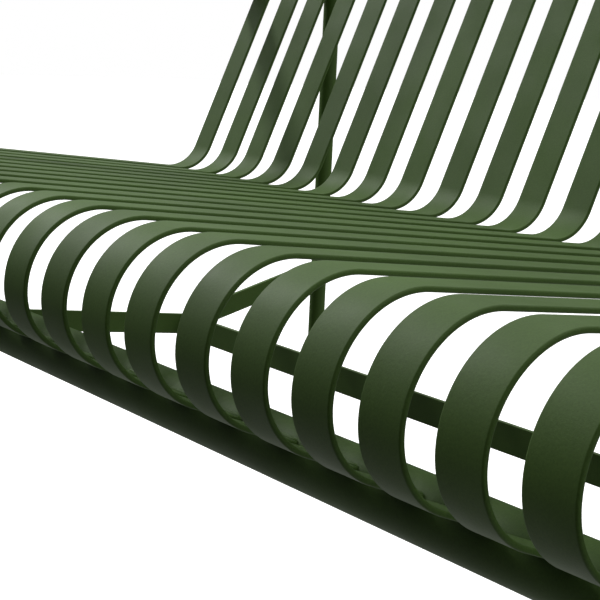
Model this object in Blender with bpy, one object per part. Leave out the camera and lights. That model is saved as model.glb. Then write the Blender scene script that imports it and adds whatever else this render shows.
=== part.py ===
# Steel strap bench with a back: bent flat slats on a tube-and-bar frame.
# Metres, +Z up, the sitter faces -Y, the bench stands on z = 0 and is centred in X.
import math

import bmesh
import bpy
from mathutils import Vector

# ---- overall layout -------------------------------------------------------
PITCH = 0.050            # slat spacing, centre to centre
SLATS = 24
SLAT_W = 0.0286          # flat bar, rounded edges
SLAT_T = 0.0031
GAP = 0.0003             # clearance left at every welded contact

# ---- slat profile (side view), measured from the seat / back corner ------
CORNER_Z = 0.3975        # height of that corner on the slat centre line
CORNER_Y = 0.0902        # places the bench's depth centre on y = 0
SEAT_SLOPE = math.radians(5.77)
SEAT_LEN = 0.4019
NOSE_R = 0.0497          # upper half of the rolled front edge
TUCK_R = 0.041           # lower half of the rolled front edge
TUCK_ANGLE = math.radians(21.0)
BACK_R = 0.0380
BACK_LEAN = math.radians(23.6)
TOP_WRAP = math.radians(16.5)    # the slat tops run this far over the pipe

# ---- frame ----------------------------------------------------------------
PIPE_R = 0.0176          # front and top pipes
POST_R = 0.0095          # legs and posts
FRAME_X = PITCH * (SLATS - 1) / 2 + 0.032     # centre plane of an end frame
CAP_T = 0.003
TOP_OVER = 0.010                              # top pipe past the post
FRONT_PIPE = (-0.3832, -0.0710)               # y, z from the corner
LEG_Y = -0.3832
POST_Y = 0.2318
FLOOR_T = 0.006                               # foot plate thickness
PLATE_X, PLATE_Y = 0.050, 0.088
BOLT_Y, BOLT_R = 0.029, 0.0055                # bolt holes before and behind the leg
ARM_Z = 0.2112
ARM_W, ARM_T, ARM_R = 0.040, 0.005, 0.030
ARM_FRONT, ARM_OUT = 0.018, 0.008             # armrest past the leg, and outwards
ARM_CURL = math.radians(150)
SIDE_H, SIDE_T = 0.023, 0.005                 # bent side bar of an end frame
SIDE_X = FRAME_X - 0.0045
BEND_Y, BEND_Z = 0.0356, -0.1830              # where the side bar bends
FRONT_RISE, REAR_RISE = 0.104, 0.273          # its slopes away from the bend
WRAP_R = PIPE_R + GAP + SLAT_T / 2
STRETCH_Y, STRETCH_Z = 0.0386, -0.1850
STRETCH_H, STRETCH_T = 0.0265, 0.0045
ROUND = 24                                    # sides of a round tube


def slat_shift(k):
    """Shop tolerance: the spacing drifts by a few millimetres, and a few slats stray."""
    drift = 3.2 * math.sin(math.pi * (k - 6.7) / 11.7)
    stray = {1: 3.5, 3: 1.0, 4: 1.0, 8: 2.5, 9: 2.0, 14: -2.0, 16: 1.0, 17: 1.0,
             20: -0.6}
    return (drift + stray.get(k, 0.0)) / 1000


def slat_x(k):
    return PITCH * (k - (SLATS - 1) / 2) + slat_shift(k)


def walk(start, heading, steps):
    """Follow straights (length, 0, 0) and arcs (radius, turn, steps) in the YZ plane."""
    pts = [(start[0], start[1], heading)]
    y, z = start
    for size, turn, n in steps:
        if n == 0:
            y += size * math.cos(heading)
            z += size * math.sin(heading)
            pts.append((y, z, heading))
            continue
        for i in range(n):
            # chord of one arc step, headed midway through its turn
            a = turn / n
            chord = 2 * size * math.sin(abs(a) / 2)
            y += chord * math.cos(heading + a / 2)
            z += chord * math.sin(heading + a / 2)
            heading += a
            pts.append((y, z, heading))
    return pts


def slat_path():
    """Centre line from the tucked end to the top, the top pipe's height, the end's slant."""
    half = math.pi / 2
    roll = [(SEAT_LEN, 0.0, 0),
            (NOSE_R, half + SEAT_SLOPE, 12),
            (TUCK_R, half - TUCK_ANGLE, 8)]
    y, z, h = walk((0.0, 0.0), math.pi - SEAT_SLOPE, roll)[-1]
    # straight run to the front pipe, cut so that both corners of its end clear it
    dy, dz = FRONT_PIPE[0] - y, FRONT_PIPE[1] - z
    along = dy * math.cos(h) + dz * math.sin(h)
    aside = dz * math.cos(h) - dy * math.sin(h)
    above, below = (along - math.sqrt((PIPE_R + 2 * GAP) ** 2 - (aside - v) ** 2)
                    for v in (SLAT_T / 2, -SLAT_T / 2))
    front = walk((0.0, 0.0), math.pi - SEAT_SLOPE, roll + [((above + below) / 2, 0.0, 0)])
    rise = half - BACK_LEAN
    bend = [(BACK_R, rise + SEAT_SLOPE, 8)]
    y, z, h = walk((0.0, 0.0), -SEAT_SLOPE, bend)[-1]
    # the straight back is tangent to the wrap around the top pipe
    top_z = z + ((POST_Y - y) * math.sin(h) - WRAP_R) / math.cos(h)
    run = (POST_Y - y) * math.cos(h) + (top_z - z) * math.sin(h)
    back = walk((0.0, 0.0), -SEAT_SLOPE,
                bend + [(run, 0.0, 0), (WRAP_R, -TOP_WRAP - rise, 10)])
    line = [(y, z, h + math.pi) for y, z, h in reversed(front)] + back[1:]
    return line, top_z, (above - below) / 2


def new_object(name, bm, material):
    bmesh.ops.recalc_face_normals(bm, faces=bm.faces[:])
    mesh = bpy.data.meshes.new(name)
    bm.to_mesh(mesh)
    bm.free()
    mesh.materials.append(material)
    obj = bpy.data.objects.new(name, mesh)
    bpy.context.scene.collection.objects.link(obj)
    return obj


def loft(name, rings, material):
    """Closed solid through a list of equal-length rings of points."""
    bm = bmesh.new()
    rows = [[bm.verts.new(p) for p in ring] for ring in rings]
    n = len(rows[0])
    for a, b in zip(rows, rows[1:]):
        for i in range(n):
            bm.faces.new((a[i], a[(i + 1) % n], b[(i + 1) % n], b[i]))
    bm.faces.new(rows[0])
    bm.faces.new(list(reversed(rows[-1])))
    return new_object(name, bm, material)


def strap(name, x, path, width, thick, material, skew=(0.0, 0.0)):
    """Flat bar swept along a side-view path; skew slants the two end cuts."""
    rings = []
    last = len(path) - 1
    for i, (y, z, h) in enumerate(path):
        ny, nz = -math.sin(h), math.cos(h)
        ends = skew[0] if i == 0 else skew[1] if i == last else 0.0
        ring = []
        for sx, sn in ((-1, -1), (1, -1), (1, 1), (-1, 1)):
            slide = ends * sn
            ring.append((x + sx * width / 2,
                         CORNER_Y + y + sn * thick / 2 * ny + slide * math.cos(h),
                         CORNER_Z + z + sn * thick / 2 * nz + slide * math.sin(h)))
        rings.append(ring)
    return loft(name, rings, material)


def rod(name, a, b, radius, material, sides=ROUND):
    """Round bar or capped tube from a to b."""
    a, b = Vector(a), Vector(b)
    axis = (b - a).normalized()
    side = axis.orthogonal().normalized()
    if abs(axis.x) > 0.9:
        side = Vector((0, 0, 1))
    up = axis.cross(side)
    rings = []
    for c in (a, b):
        rings.append([c + radius * (math.cos(t) * side + math.sin(t) * up)
                      for t in (2 * math.pi * i / sides for i in range(sides))])
    return loft(name, rings, material)


def box(name, centre, size, material):
    cx, cy, cz = centre
    sx, sy, sz = (s / 2 for s in size)
    rings = [[(cx + i * sx, cy + j * sy, cz + k * sz)
              for i, j in ((-1, -1), (1, -1), (1, 1), (-1, 1))] for k in (-1, 1)]
    return loft(name, rings, material)


def plate_with_holes(name, cx, cy, material):
    """Foot plate with a bolt hole in front of and behind the leg."""
    body = box(name, (cx, cy, FLOOR_T / 2), (PLATE_X, PLATE_Y, FLOOR_T), material)
    for j in (-1, 1):
        cutter = rod(name + "_cut", (cx, cy + j * BOLT_Y, -FLOOR_T),
                     (cx, cy + j * BOLT_Y, 2 * FLOOR_T), BOLT_R, material, 16)
        cutter.hide_render = True
        cutter.display_type = "WIRE"
        mod = body.modifiers.new("hole", "BOOLEAN")
        mod.operation = "DIFFERENCE"
        mod.solver = "EXACT"
        mod.object = cutter
        bpy.context.view_layer.objects.active = body
        bpy.ops.object.modifier_apply(modifier=mod.name)
        bpy.data.objects.remove(cutter, do_unlink=True)
    return body


def paint(name, colour, rough):
    mat = bpy.data.materials.new(name)
    mat.use_nodes = True
    bsdf = mat.node_tree.nodes["Principled BSDF"]
    bsdf.inputs["Base Color"].default_value = (*colour, 1.0)
    bsdf.inputs["Roughness"].default_value = rough
    return mat


for old in list(bpy.data.objects):
    bpy.data.objects.remove(old, do_unlink=True)

GREEN = paint("green_powder_coat", (0.040, 0.075, 0.026), 0.42)

path, top_z, end_slant = slat_path()
for k in range(SLATS):
    strap("slat_%02d" % (k + 1), slat_x(k), path, SLAT_W, SLAT_T, GREEN,
          skew=(end_slant, 0.0))

fy, fz = CORNER_Y + FRONT_PIPE[0], CORNER_Z + FRONT_PIPE[1]
ty, tz = CORNER_Y + POST_Y, CORNER_Z + top_z
for name, y, z, half in (("front_pipe", fy, fz, FRAME_X - POST_R - GAP),
                         ("top_pipe", ty, tz, FRAME_X + POST_R + TOP_OVER)):
    inner = half - CAP_T - GAP
    rod(name, (-inner, y, z), (inner, y, z), PIPE_R, GREEN, 32)
    for side, s in (("left", -1), ("right", 1)):
        rod(name + "_cap_" + side, (s * (half - CAP_T), y, z),
            (s * half, y, z), PIPE_R, GREEN, 32)

box("rear_stretcher", (0, CORNER_Y + STRETCH_Y, CORNER_Z + STRETCH_Z),
    (2 * (SIDE_X - SIDE_T / 2 - GAP), STRETCH_T, STRETCH_H), GREEN)

for side, s in (("left", -1), ("right", 1)):
    x = s * FRAME_X
    arm_bottom = CORNER_Z + ARM_Z - ARM_T / 2
    rod("front_leg_" + side, (x, CORNER_Y + LEG_Y, FLOOR_T + GAP),
        (x, CORNER_Y + LEG_Y, arm_bottom - GAP), POST_R, GREEN)
    rod("rear_post_" + side, (x, CORNER_Y + POST_Y, FLOOR_T + GAP),
        (x, CORNER_Y + POST_Y, tz - PIPE_R - GAP), POST_R, GREEN)

    front_y = LEG_Y + POST_R + GAP
    rear_y = POST_Y - POST_R - GAP
    line = [(front_y, BEND_Z + FRONT_RISE * (BEND_Y - front_y)),
            (BEND_Y, BEND_Z),
            (rear_y, BEND_Z + REAR_RISE * (rear_y - BEND_Y))]
    rings = []
    for y, z in line:
        rings.append([(s * SIDE_X + i * SIDE_T / 2, CORNER_Y + y,
                       CORNER_Z + z + j * SIDE_H / 2)
                      for i, j in ((-1, -1), (1, -1), (1, 1), (-1, 1))])
    loft("side_bar_" + side, rings, GREEN)

    arm_len = rear_y - (LEG_Y - ARM_FRONT)
    arm = walk((rear_y, ARM_Z), math.pi,
               [(arm_len, 0.0, 0), (ARM_R, ARM_CURL, 10)])
    strap("armrest_" + side, s * (FRAME_X + ARM_OUT), arm, ARM_W, ARM_T, GREEN)

    plate_with_holes("foot_front_" + side, x, CORNER_Y + LEG_Y, GREEN)
    plate_with_holes("foot_rear_" + side, x, CORNER_Y + POST_Y, GREEN)
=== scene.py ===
"""Looks for the steel strap bench: fine meshes, powder-coat paint, studio light."""

import math

import bmesh
import bpy
from mathutils import Matrix, Vector


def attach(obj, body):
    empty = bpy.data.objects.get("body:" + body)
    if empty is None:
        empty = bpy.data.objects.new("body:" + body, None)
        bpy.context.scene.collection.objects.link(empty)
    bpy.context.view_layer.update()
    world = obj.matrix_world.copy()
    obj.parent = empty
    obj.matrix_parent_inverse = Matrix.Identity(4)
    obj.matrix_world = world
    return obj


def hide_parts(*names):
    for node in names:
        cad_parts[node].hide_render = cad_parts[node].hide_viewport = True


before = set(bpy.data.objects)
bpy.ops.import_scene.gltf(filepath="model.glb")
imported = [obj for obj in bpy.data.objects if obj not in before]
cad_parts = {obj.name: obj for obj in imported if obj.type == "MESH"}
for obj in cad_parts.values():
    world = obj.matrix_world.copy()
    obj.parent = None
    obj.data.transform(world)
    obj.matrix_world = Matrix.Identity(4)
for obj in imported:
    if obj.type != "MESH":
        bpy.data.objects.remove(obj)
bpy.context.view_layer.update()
scene = bpy.context.scene

# ---- the bench's own sizes, in metres (the same design values as the CAD) -------
PITCH = 0.050            # slat spacing, centre to centre
SLATS = 24
SLAT_W = 0.0286
SLAT_T = 0.0031
GAP = 0.0003             # clearance that the CAD leaves at every welded contact

# slat profile (side view), measured from the seat / back corner
CORNER_Y, CORNER_Z = 0.0902, 0.3975
SEAT_SLOPE = math.radians(5.77)
SEAT_LEN = 0.4019
NOSE_R = 0.0497          # upper half of the rolled front edge
TUCK_R = 0.041           # lower half of the rolled front edge
TUCK_ANGLE = math.radians(21.0)
BACK_R = 0.0380
BACK_LEAN = math.radians(23.6)
TOP_WRAP = math.radians(16.5)    # the slat tops run this far over the pipe

# frame; places in Y and Z are from the same corner
PIPE_R = 0.0176          # front and top pipes
POST_R = 0.0095          # legs and posts
FRAME_X = PITCH * (SLATS - 1) / 2 + 0.032     # centre plane of an end frame
CAP_T = 0.003
TOP_OVER = 0.010                              # top pipe past the post
FRONT_PIPE = (-0.3832, -0.0710)
LEG_Y = -0.3832
POST_Y = 0.2318
FLOOR_T = 0.006                               # foot plate thickness
PLATE_X, PLATE_Y = 0.050, 0.088
BOLT_Y, BOLT_R = 0.029, 0.0055                # bolt holes before and behind the leg
ARM_Z = 0.2112
ARM_W, ARM_T, ARM_R = 0.040, 0.005, 0.030
ARM_FRONT, ARM_OUT = 0.018, 0.008             # armrest past the leg, and outwards
ARM_CURL = math.radians(150)
SIDE_H, SIDE_T = 0.023, 0.005                 # bent side bar of an end frame
SIDE_X = FRAME_X - 0.0045
BEND_Y, BEND_Z = 0.0356, -0.1830              # where the side bar bends
FRONT_RISE, REAR_RISE = 0.104, 0.273          # its slopes away from the bend
WRAP_R = PIPE_R + GAP + SLAT_T / 2
STRETCH_Y, STRETCH_Z = 0.0386, -0.1850
STRETCH_H, STRETCH_T = 0.0265, 0.0045

# ---- finishing sizes, in metres ---------------------------------------------------
STRAP_EDGE = 0.0012      # radius along the edges of slats and armrests
BAR_EDGE = 0.0008        # radius along the edges of side bars and the stretcher
CUT_EASE = 0.0005        # how far a flat bar's end cut is eased
PIPE_EASE, CAP_EASE, POST_EASE = 0.0002, 0.0008, 0.0003
PLATE_EASE, PLATE_CORNER = 0.0004, 0.003
SLAT_WELD, FOOT_WELD = 0.0013, 0.0020         # bead radii
PIPE_SIDES, POST_SIDES, HOLE_SIDES, BEAD_SIDES = 96, 72, 32, 10
SIDES = (("left", -1), ("right", 1))


def slat_shift(k):
    """Shop tolerance: the spacing drifts by a few millimetres, and a few slats stray."""
    drift = 3.2 * math.sin(math.pi * (k - 6.7) / 11.7)
    stray = {1: 3.5, 3: 1.0, 4: 1.0, 8: 2.5, 9: 2.0, 14: -2.0, 16: 1.0, 17: 1.0,
             20: -0.6}
    return (drift + stray.get(k, 0.0)) / 1000


def slat_x(k):
    return PITCH * (k - (SLATS - 1) / 2) + slat_shift(k)


def walk(start, heading, steps):
    """Follow straights (length, 0, 0) and arcs (radius, turn, steps) in the YZ plane."""
    pts = [(start[0], start[1], heading)]
    y, z = start
    for size, turn, n in steps:
        if n == 0:
            y += size * math.cos(heading)
            z += size * math.sin(heading)
            pts.append((y, z, heading))
            continue
        for _ in range(n):
            a = turn / n
            chord = 2 * size * math.sin(abs(a) / 2)
            y += chord * math.cos(heading + a / 2)
            z += chord * math.sin(heading + a / 2)
            heading += a
            pts.append((y, z, heading))
    return pts


def slat_path():
    """Centre line from the tucked end to the top, the top pipe's height, the end's slant."""
    half = math.pi / 2
    roll = [(SEAT_LEN / 3, 0.0, 0)] * 3 + [(NOSE_R, half + SEAT_SLOPE, 40),
                                           (TUCK_R, half - TUCK_ANGLE, 28)]
    y, z, h = walk((0.0, 0.0), math.pi - SEAT_SLOPE, roll)[-1]
    # straight run to the front pipe, cut so that both corners of its end clear it
    dy, dz = FRONT_PIPE[0] - y, FRONT_PIPE[1] - z
    along = dy * math.cos(h) + dz * math.sin(h)
    aside = dz * math.cos(h) - dy * math.sin(h)
    above, below = (along - math.sqrt((PIPE_R + 2 * GAP) ** 2 - (aside - v) ** 2)
                    for v in (SLAT_T / 2, -SLAT_T / 2))
    front = walk((0.0, 0.0), math.pi - SEAT_SLOPE, roll + [((above + below) / 2, 0.0, 0)])
    rise = half - BACK_LEAN
    bend = [(BACK_R, rise + SEAT_SLOPE, 28)]
    y, z, h = walk((0.0, 0.0), -SEAT_SLOPE, bend)[-1]
    top_z = z + ((POST_Y - y) * math.sin(h) - WRAP_R) / math.cos(h)
    run = (POST_Y - y) * math.cos(h) + (top_z - z) * math.sin(h)
    back = walk((0.0, 0.0), -SEAT_SLOPE,
                bend + [(run / 3, 0.0, 0)] * 3 + [(WRAP_R, -TOP_WRAP - rise, 30)])
    line = [(y, z, h + math.pi) for y, z, h in reversed(front)] + back[1:]
    return line, top_z, (above - below) / 2


# ---- mesh helpers -----------------------------------------------------------------
def finish_mesh(name, bm, mat, node=None):
    """Turn a bmesh into a smooth piece of the bench, which stands for the named CAD node."""
    bmesh.ops.recalc_face_normals(bm, faces=bm.faces[:])
    for f in bm.faces:
        f.smooth = True
    mesh = bpy.data.meshes.new(name)
    bm.to_mesh(mesh)
    bm.free()
    mesh.materials.append(mat)
    obj = bpy.data.objects.new(name, mesh)
    scene.collection.objects.link(obj)
    weighted = obj.modifiers.new("weighted", "WEIGHTED_NORMAL")
    weighted.weight = 100
    weighted.keep_sharp = True
    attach(obj, "root")
    if node:
        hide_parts(node)
    return obj


def round_angles(n):
    return [2 * math.pi * i / n for i in range(n)]


def skin(bm, a, b):
    """A band of quads between two closed rings with the same number of points."""
    n = len(a)
    for i in range(n):
        bm.faces.new((a[i], a[(i + 1) % n], b[(i + 1) % n], b[i]))


def cap_ends(bm, rows):
    bm.faces.new(rows[0])
    bm.faces.new(list(reversed(rows[-1])))


def loft(name, rings, mat, node=None):
    """A closed piece skinned over a row of rings."""
    bm = bmesh.new()
    rows = [[bm.verts.new(p) for p in ring] for ring in rings]
    for a, b in zip(rows, rows[1:]):
        skin(bm, a, b)
    cap_ends(bm, rows)
    return finish_mesh(name, bm, mat, node)


def rounded(w, t, r, n=5):
    """Outline of a rounded rectangle, as (along width, along thickness)."""
    pts = []
    for cx, cy, a0 in ((w / 2 - r, t / 2 - r, 0), (-w / 2 + r, t / 2 - r, 90),
                       (-w / 2 + r, -t / 2 + r, 180), (w / 2 - r, -t / 2 + r, 270)):
        for i in range(n + 1):
            a = math.radians(a0 + 90 * i / n)
            pts.append((cx + r * math.cos(a), cy + r * math.sin(a)))
    return pts


def strap(name, x, path, width, thick, mat, node, slant=0.0):
    """Flat bar swept along a side-view path; its first end may be cut on a slant."""
    rings = []
    last = len(path) - 1
    soft = CUT_EASE
    for i, (y, z, h) in enumerate(path):
        ny, nz = -math.sin(h), math.cos(h)
        # (step along the path, inset of the outline): the end cuts have eased edges
        passes = [(0.0, 0.0)]
        if i == 0:
            passes = [(0.0, soft), (soft * 0.3, soft * 0.3), (soft, 0.0)]
        elif i == last:
            passes = [(-soft, 0.0), (-soft * 0.3, soft * 0.3), (0.0, soft)]
        for step, inset in passes:
            ring = []
            for u, v in rounded(width - 2 * inset, thick - 2 * inset, STRAP_EDGE - inset):
                slide = step + (slant * 2 * v / thick if i == 0 else 0.0)
                ring.append((x + u, CORNER_Y + y + v * ny + slide * math.cos(h),
                             CORNER_Z + z + v * nz + slide * math.sin(h)))
            rings.append(ring)
    return loft(name, rings, mat, node)


def tube(name, a, b, radius, mat, node, sides, ease, cuts=1):
    """Round bar from a to b with eased ends, in as many lengths as cuts says."""
    a, b = Vector(a), Vector(b)
    axis = (b - a).normalized()
    side = Vector((0, 0, 1)) if abs(axis.z) < 0.9 else Vector((1, 0, 0))
    side = (side - axis * side.dot(axis)).normalized()
    up = axis.cross(side)
    length = (b - a).length
    stops = [(0.0, radius - ease), (ease * 0.3, radius - ease * 0.3), (ease, radius)]
    line = stops + [(length * i / cuts, radius) for i in range(1, cuts)]
    line += [(length - s, r) for s, r in reversed(stops)]
    rings = []
    for s, r in line:
        rings.append([a + axis * s + r * (math.cos(t) * side + math.sin(t) * up)
                      for t in round_angles(sides)])
    return loft(name, rings, mat, node)


# ---- node helpers, for the paint and the sky ----------------------------------------
def map_range(tree, source, start, end, low, high):
    """Map start..end to low..high, held at both ends; gives the node."""
    node = tree.nodes.new("ShaderNodeMapRange")
    node.inputs["From Min"].default_value = start
    node.inputs["From Max"].default_value = end
    node.inputs["To Min"].default_value = low
    node.inputs["To Max"].default_value = high
    tree.links.new(source, node.inputs["Value"])
    return node


def combine(tree, operation, a, b):
    node = tree.nodes.new("ShaderNodeMath")
    node.operation = operation
    tree.links.new(a, node.inputs[0])
    tree.links.new(b, node.inputs[1])
    return node.outputs["Value"]


# ---- paint ------------------------------------------------------------------------
def powder_coat(name, colour, rough):
    """Satin powder coat: mottled and grainy colour over an orange-peel surface."""
    mat = bpy.data.materials.new(name)
    mat.use_nodes = True
    tree = mat.node_tree
    bsdf = tree.nodes["Principled BSDF"]
    coords = tree.nodes.new("ShaderNodeTexCoord")

    def noise(scale, detail, fine=0.5):
        node = tree.nodes.new("ShaderNodeTexNoise")
        node.inputs["Scale"].default_value = scale
        node.inputs["Detail"].default_value = detail
        node.inputs["Roughness"].default_value = fine
        tree.links.new(coords.outputs["Object"], node.inputs["Vector"])
        return node.outputs["Fac"]

    def bump(height, distance):
        node = tree.nodes.new("ShaderNodeBump")
        node.inputs["Strength"].default_value = 0.10
        node.inputs["Distance"].default_value = distance
        tree.links.new(height, node.inputs["Height"])
        return node

    # slow colour drift, in patches of up to ten centimetres, and a grain of about a millimetre
    drift = map_range(tree, noise(9.0, 3.0), 0.35, 0.65, 0.90, 1.10)
    grain = map_range(tree, noise(900.0, 3.0, 0.6), 0.3, 0.7, 0.90, 1.10)
    shade = combine(tree, "MULTIPLY", drift.outputs["Result"], grain.outputs["Result"])
    tint = tree.nodes.new("ShaderNodeVectorMath")
    tint.operation = "SCALE"
    tint.inputs[0].default_value = colour
    tree.links.new(shade, tint.inputs["Scale"])
    tree.links.new(tint.outputs["Vector"], bsdf.inputs["Base Color"])

    sheen = map_range(tree, noise(30.0, 3.0), 0.3, 0.7, rough - 0.04, rough + 0.05)
    tree.links.new(sheen.outputs["Result"], bsdf.inputs["Roughness"])
    bsdf.inputs["Specular IOR Level"].default_value = 0.22

    # orange peel under a finer pebble
    peel = bump(noise(700.0, 1.0), 0.0006)
    pebble = bump(noise(2600.0, 1.0), 0.0002)
    tree.links.new(peel.outputs["Normal"], pebble.inputs["Normal"])
    tree.links.new(pebble.outputs["Normal"], bsdf.inputs["Normal"])
    return mat


PAINT = powder_coat("green_powder_coat", (0.075, 0.143, 0.028), 0.58)

# ---- slats ------------------------------------------------------------------------
path, top_z, end_slant = slat_path()
for k in range(SLATS):
    strap("slat_fine_%02d" % (k + 1), slat_x(k), path, SLAT_W, SLAT_T, PAINT,
          "slat_%02d" % (k + 1), slant=end_slant)


# ---- pipes and stretcher ------------------------------------------------------------
def capped_pipe(node, y, z, half):
    """A pipe along X with an end cap on each side, half as long as half says."""
    inner = half - CAP_T - GAP
    tube(node + "_fine", (-inner, y, z), (inner, y, z), PIPE_R, PAINT, node,
         PIPE_SIDES, PIPE_EASE, cuts=24)
    for side, s in SIDES:
        a, b = sorted((s * (half - CAP_T), s * half))
        tube(node + "_cap_fine_" + side, (a, y, z), (b, y, z), PIPE_R, PAINT,
             node + "_cap_" + side, PIPE_SIDES, CAP_EASE)


def bar_x(name, y, z, half, t, h, node):
    """Flat bar on edge along X, centred, with eased end cuts."""
    rings = []
    for x, inset in ((-half, CUT_EASE), (-half + CUT_EASE, 0), (-half / 3, 0), (half / 3, 0),
                     (half - CUT_EASE, 0), (half, CUT_EASE)):
        outline = rounded(t - 2 * inset, h - 2 * inset, BAR_EDGE - inset * 0.5)
        rings.append([(x, y + u, z + v) for u, v in outline])
    return loft(name, rings, PAINT, node)


capped_pipe("front_pipe", CORNER_Y + FRONT_PIPE[0], CORNER_Z + FRONT_PIPE[1],
            FRAME_X - POST_R - GAP)
capped_pipe("top_pipe", CORNER_Y + POST_Y, CORNER_Z + top_z, FRAME_X + POST_R + TOP_OVER)
bar_x("rear_stretcher_fine", CORNER_Y + STRETCH_Y, CORNER_Z + STRETCH_Z,
      SIDE_X - SIDE_T / 2 - GAP, STRETCH_T, STRETCH_H, "rear_stretcher")


# ---- end frames -------------------------------------------------------------------
def plate(name, cx, cy, node):
    """Foot plate with eased edges and two bolt holes."""
    bm = bmesh.new()
    outline = rounded(PLATE_X, PLATE_Y, PLATE_CORNER, 4)
    rims = []
    for z, inset in ((0.0, PLATE_EASE), (PLATE_EASE, 0.0),
                     (FLOOR_T - PLATE_EASE, 0.0), (FLOOR_T, PLATE_EASE)):
        across, along = 1 - 2 * inset / PLATE_X, 1 - 2 * inset / PLATE_Y
        rims.append([bm.verts.new((cx + u * across, cy + v * along, z)) for u, v in outline])
    for a, b in zip(rims, rims[1:]):
        skin(bm, a, b)
    holes = []
    for y in (cy - BOLT_Y, cy + BOLT_Y):
        rows = [[bm.verts.new((cx + BOLT_R * math.cos(t), y + BOLT_R * math.sin(t), z))
                 for t in round_angles(HOLE_SIDES)] for z in (0.0, FLOOR_T)]
        skin(bm, rows[0], rows[1])
        holes.append(rows)
    for side in (0, -1):
        edges = []
        for loop in [rims[side]] + [rows[side] for rows in holes]:
            edges += [bm.edges.get((v, loop[(i + 1) % len(loop)])) for i, v in enumerate(loop)]
        bmesh.ops.triangle_fill(bm, use_beauty=True, use_dissolve=False, edges=edges)
    return finish_mesh(name, bm, PAINT, node)


def end_frame(side, s):
    """Leg, post, bent side bar, armrest and foot plates on one side."""
    x = s * FRAME_X
    leg_top = CORNER_Z + ARM_Z - ARM_T / 2 - GAP
    post_top = CORNER_Z + top_z - PIPE_R - GAP
    for node, y, top, cuts in (("front_leg", CORNER_Y + LEG_Y, leg_top, 6),
                               ("rear_post", CORNER_Y + POST_Y, post_top, 8)):
        tube(node + "_fine_" + side, (x, y, FLOOR_T + GAP), (x, y, top), POST_R, PAINT,
             node + "_" + side, POST_SIDES, POST_EASE, cuts)

    front_y = LEG_Y + POST_R + GAP
    rear_y = POST_Y - POST_R - GAP
    line = [(front_y, BEND_Z + FRONT_RISE * (BEND_Y - front_y)),
            (BEND_Y, BEND_Z),
            (rear_y, BEND_Z + REAR_RISE * (rear_y - BEND_Y))]
    rings = [[(s * SIDE_X + u, CORNER_Y + y, CORNER_Z + z + v)
              for u, v in rounded(SIDE_T, SIDE_H, BAR_EDGE)] for y, z in line]
    loft("side_bar_fine_" + side, rings, PAINT, "side_bar_" + side)

    arm_len = rear_y - (LEG_Y - ARM_FRONT)
    arm = walk((rear_y, ARM_Z), math.pi, [(arm_len, 0.0, 0), (ARM_R, ARM_CURL, 36)])
    strap("armrest_fine_" + side, s * (FRAME_X + ARM_OUT), arm, ARM_W, ARM_T, PAINT,
          "armrest_" + side)
    plate("foot_front_fine_" + side, x, CORNER_Y + LEG_Y, "foot_front_" + side)
    plate("foot_rear_fine_" + side, x, CORNER_Y + POST_Y, "foot_rear_" + side)


for side, s in SIDES:
    end_frame(side, s)


# ---- welds ------------------------------------------------------------------------
def weld_seams(name, runs, radius):
    """Rippled round beads along level runs of points, all in one mesh."""
    bm = bmesh.new()
    up = Vector((0, 0, 1))
    for pts, closed in runs:
        n = len(pts)
        rows = []
        for i, p in enumerate(pts):
            ahead = pts[(i + 1) % n] if closed or i < n - 1 else p
            behind = pts[i - 1] if closed or i else p
            across = (ahead - behind).normalized().cross(up)
            r = radius * (1 + 0.10 * math.cos(2.1 * i))
            if not closed:
                # the bead fades out over its last step at each end
                r *= min(1.0, 0.35 + 0.65 * min(i, n - 1 - i))
            rows.append([bm.verts.new(p + r * (math.cos(t) * across + math.sin(t) * up))
                         for t in round_angles(BEAD_SIDES)])
        for a, b in zip(rows, rows[1:]):
            skin(bm, a, b)
        if closed:
            skin(bm, rows[-1], rows[0])
        else:
            cap_ends(bm, rows)
    return finish_mesh(name, bm, PAINT)


def level_run(x0, x1, y, z, n=16):
    return [Vector((x0 + (x1 - x0) * i / (n - 1), y, z)) for i in range(n)], False


def ring_run(x, y, z, radius, n=40):
    return [Vector((x + radius * math.cos(t), y + radius * math.sin(t), z))
            for t in round_angles(n)], True


def slat_end_runs(k):
    """The two lines where the faces of a slat's cut end meet the front pipe."""
    y, z, h = path[0]
    reach = SLAT_W * 0.46
    runs = []
    for face in (-1, 1):
        off, slide = face * SLAT_T / 2, face * end_slant
        runs.append(level_run(slat_x(k) - reach, slat_x(k) + reach,
                              CORNER_Y + y - off * math.sin(h) + slide * math.cos(h),
                              CORNER_Z + z + off * math.cos(h) + slide * math.sin(h)))
    return runs


weld_seams("slat_welds", [run for k in range(SLATS) for run in slat_end_runs(k)], SLAT_WELD)
weld_seams("foot_welds", [ring_run(s * FRAME_X, CORNER_Y + y, FLOOR_T + GAP, POST_R)
                          for _, s in SIDES for y in (LEG_Y, POST_Y)], FOOT_WELD)


# ---- stage ------------------------------------------------------------------------
def stage_piece(name, bm, paint, grey, rough, shine, glow):
    """A glowing piece that only the camera sees: the sky and the lights light the bench."""
    mesh = bpy.data.meshes.new(name)
    bm.to_mesh(mesh)
    bm.free()
    mat = bpy.data.materials.new(paint)
    mat.use_nodes = True
    bsdf = mat.node_tree.nodes["Principled BSDF"]
    bsdf.inputs["Base Color"].default_value = (grey, grey, grey, 1)
    bsdf.inputs["Roughness"].default_value = rough
    bsdf.inputs["Specular IOR Level"].default_value = shine
    bsdf.inputs["Emission Color"].default_value = (1, 1, 1, 1)
    bsdf.inputs["Emission Strength"].default_value = glow
    mesh.materials.append(mat)
    obj = bpy.data.objects.new(name, mesh)
    scene.collection.objects.link(obj)
    obj.visible_diffuse = False
    obj.visible_glossy = False
    return obj


ground = bmesh.new()
bmesh.ops.create_grid(ground, x_segments=1, y_segments=1, size=12.0)
stage_piece("floor", ground, "pale_floor", grey=0.86, rough=0.8, shine=0.5, glow=0.75)

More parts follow.
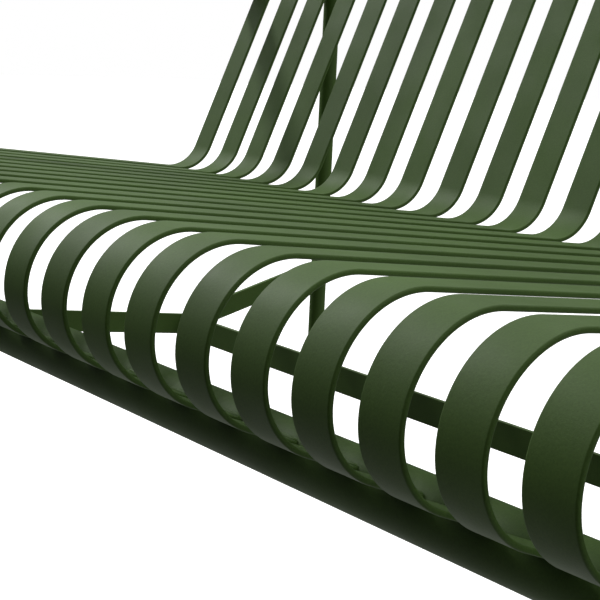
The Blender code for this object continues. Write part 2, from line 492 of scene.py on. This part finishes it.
ball = bmesh.new()
bmesh.ops.create_uvsphere(ball, u_segments=48, v_segments=24, radius=14.0)
backdrop = stage_piece("backdrop", ball, "white_backdrop", grey=0.0, rough=0.5, shine=0.0,
                       glow=1.0)
backdrop.visible_shadow = False


# ---- sky ----------------------------------------------------------------------------
def facing(tree, coords, direction):
    """How far each direction of the sky leans towards the given one."""
    node = tree.nodes.new("ShaderNodeVectorMath")
    node.operation = "DOT_PRODUCT"
    node.inputs[1].default_value = direction
    tree.links.new(coords.outputs["Generated"], node.inputs[0])
    return node.outputs["Value"]


def studio_sky(name, stops):
    """A sky graded by height, then by side, with one softbox in it."""
    world = bpy.data.worlds.new(name)
    world.use_nodes = True
    tree = world.node_tree
    sky = tree.nodes["Background"]
    coords = tree.nodes.new("ShaderNodeTexCoord")

    height = map_range(tree, facing(tree, coords, (0.0, 0.0, 1.0)), -1.0, 1.0, 0.0, 1.0)
    grade = tree.nodes.new("ShaderNodeValToRGB")
    elements = grade.color_ramp.elements
    elements[0].position, elements[1].position = stops[0][0], stops[-1][0]
    for place, _ in stops[1:-1]:
        elements.new(place)
    for element, (_, bright) in zip(elements, stops):
        element.color = (bright, bright, bright, 1)
    tree.links.new(height.outputs["Result"], grade.inputs["Fac"])
    tree.links.new(grade.outputs["Color"], sky.inputs["Color"])

    # the ceiling is brighter on the left and rear than on the right and front
    gain = map_range(tree, facing(tree, coords, (-0.30, 0.60, 0.0)), -0.50, 0.55, 0.02, 1.30)
    # one broad softbox low on the left gives the sheen on the rolled front edges
    left = facing(tree, coords, Vector((-0.88, -0.28, 0.36)).normalized())
    softbox = map_range(tree, left, math.cos(math.radians(27)), math.cos(math.radians(11)),
                        0.0, 1.9)
    softbox.interpolation_type = "SMOOTHSTEP"
    total = combine(tree, "ADD", gain.outputs["Result"], softbox.outputs["Result"])
    tree.links.new(total, sky.inputs["Strength"])
    return world


# (height from straight down at 0 to straight up at 1, brightness):
# a dark ground and horizon under a wide soft ceiling
scene.world = studio_sky("studio", (
    (0.0, 0.50), (0.27, 0.50), (0.33, 0.30), (0.39, 0.13), (0.50, 0.06), (0.54, 0.06),
    (0.60, 0.18), (0.68, 0.70), (0.75, 0.95), (1.0, 1.30)))


# ---- lights -------------------------------------------------------------------------
def area(name, place, target, size, power):
    light = bpy.data.lights.new(name, "AREA")
    light.shape = "RECTANGLE"
    light.size, light.size_y = size
    light.energy = power
    obj = bpy.data.objects.new(name, light)
    obj.location = place
    obj.rotation_euler = (Vector(target) - Vector(place)).to_track_quat("-Z", "Y").to_euler()
    scene.collection.objects.link(obj)


area("key", (-2.55, -0.50, 2.45), target=(0.0, -0.1, 0.45), size=(0.28, 0.28), power=29)
area("fill", (3.2, 0.3, 1.0), target=(0.0, 0.0, 0.35), size=(2.0, 1.4), power=17)


# ---- camera -----------------------------------------------------------------------
def camera(name, place, heading, dip, roll, lens):
    """Heading turns from +X towards +Y, a negative dip looks down, roll tilts the frame."""
    data = bpy.data.cameras.new(name)
    data.lens = lens
    data.sensor_width = 36.0
    data.clip_start = 0.05
    obj = bpy.data.objects.new(name, data)
    aim = Vector((math.cos(dip) * math.cos(heading), math.cos(dip) * math.sin(heading),
                  math.sin(dip)))
    level = aim.to_track_quat("-Z", "Y").to_matrix().to_4x4()
    obj.matrix_world = Matrix.Translation(place) @ level @ Matrix.Rotation(roll, 4, "Z")
    scene.collection.objects.link(obj)
    return obj


view = camera("camera", (0.7700, CORNER_Y - 0.8367, 0.5505), heading=math.radians(142.89),
              dip=math.radians(-10.567), roll=math.radians(2.69), lens=86.5)
bpy.context.scene.camera = view
scene.view_settings.view_transform = "Standard"
scene.view_settings.look = "None"
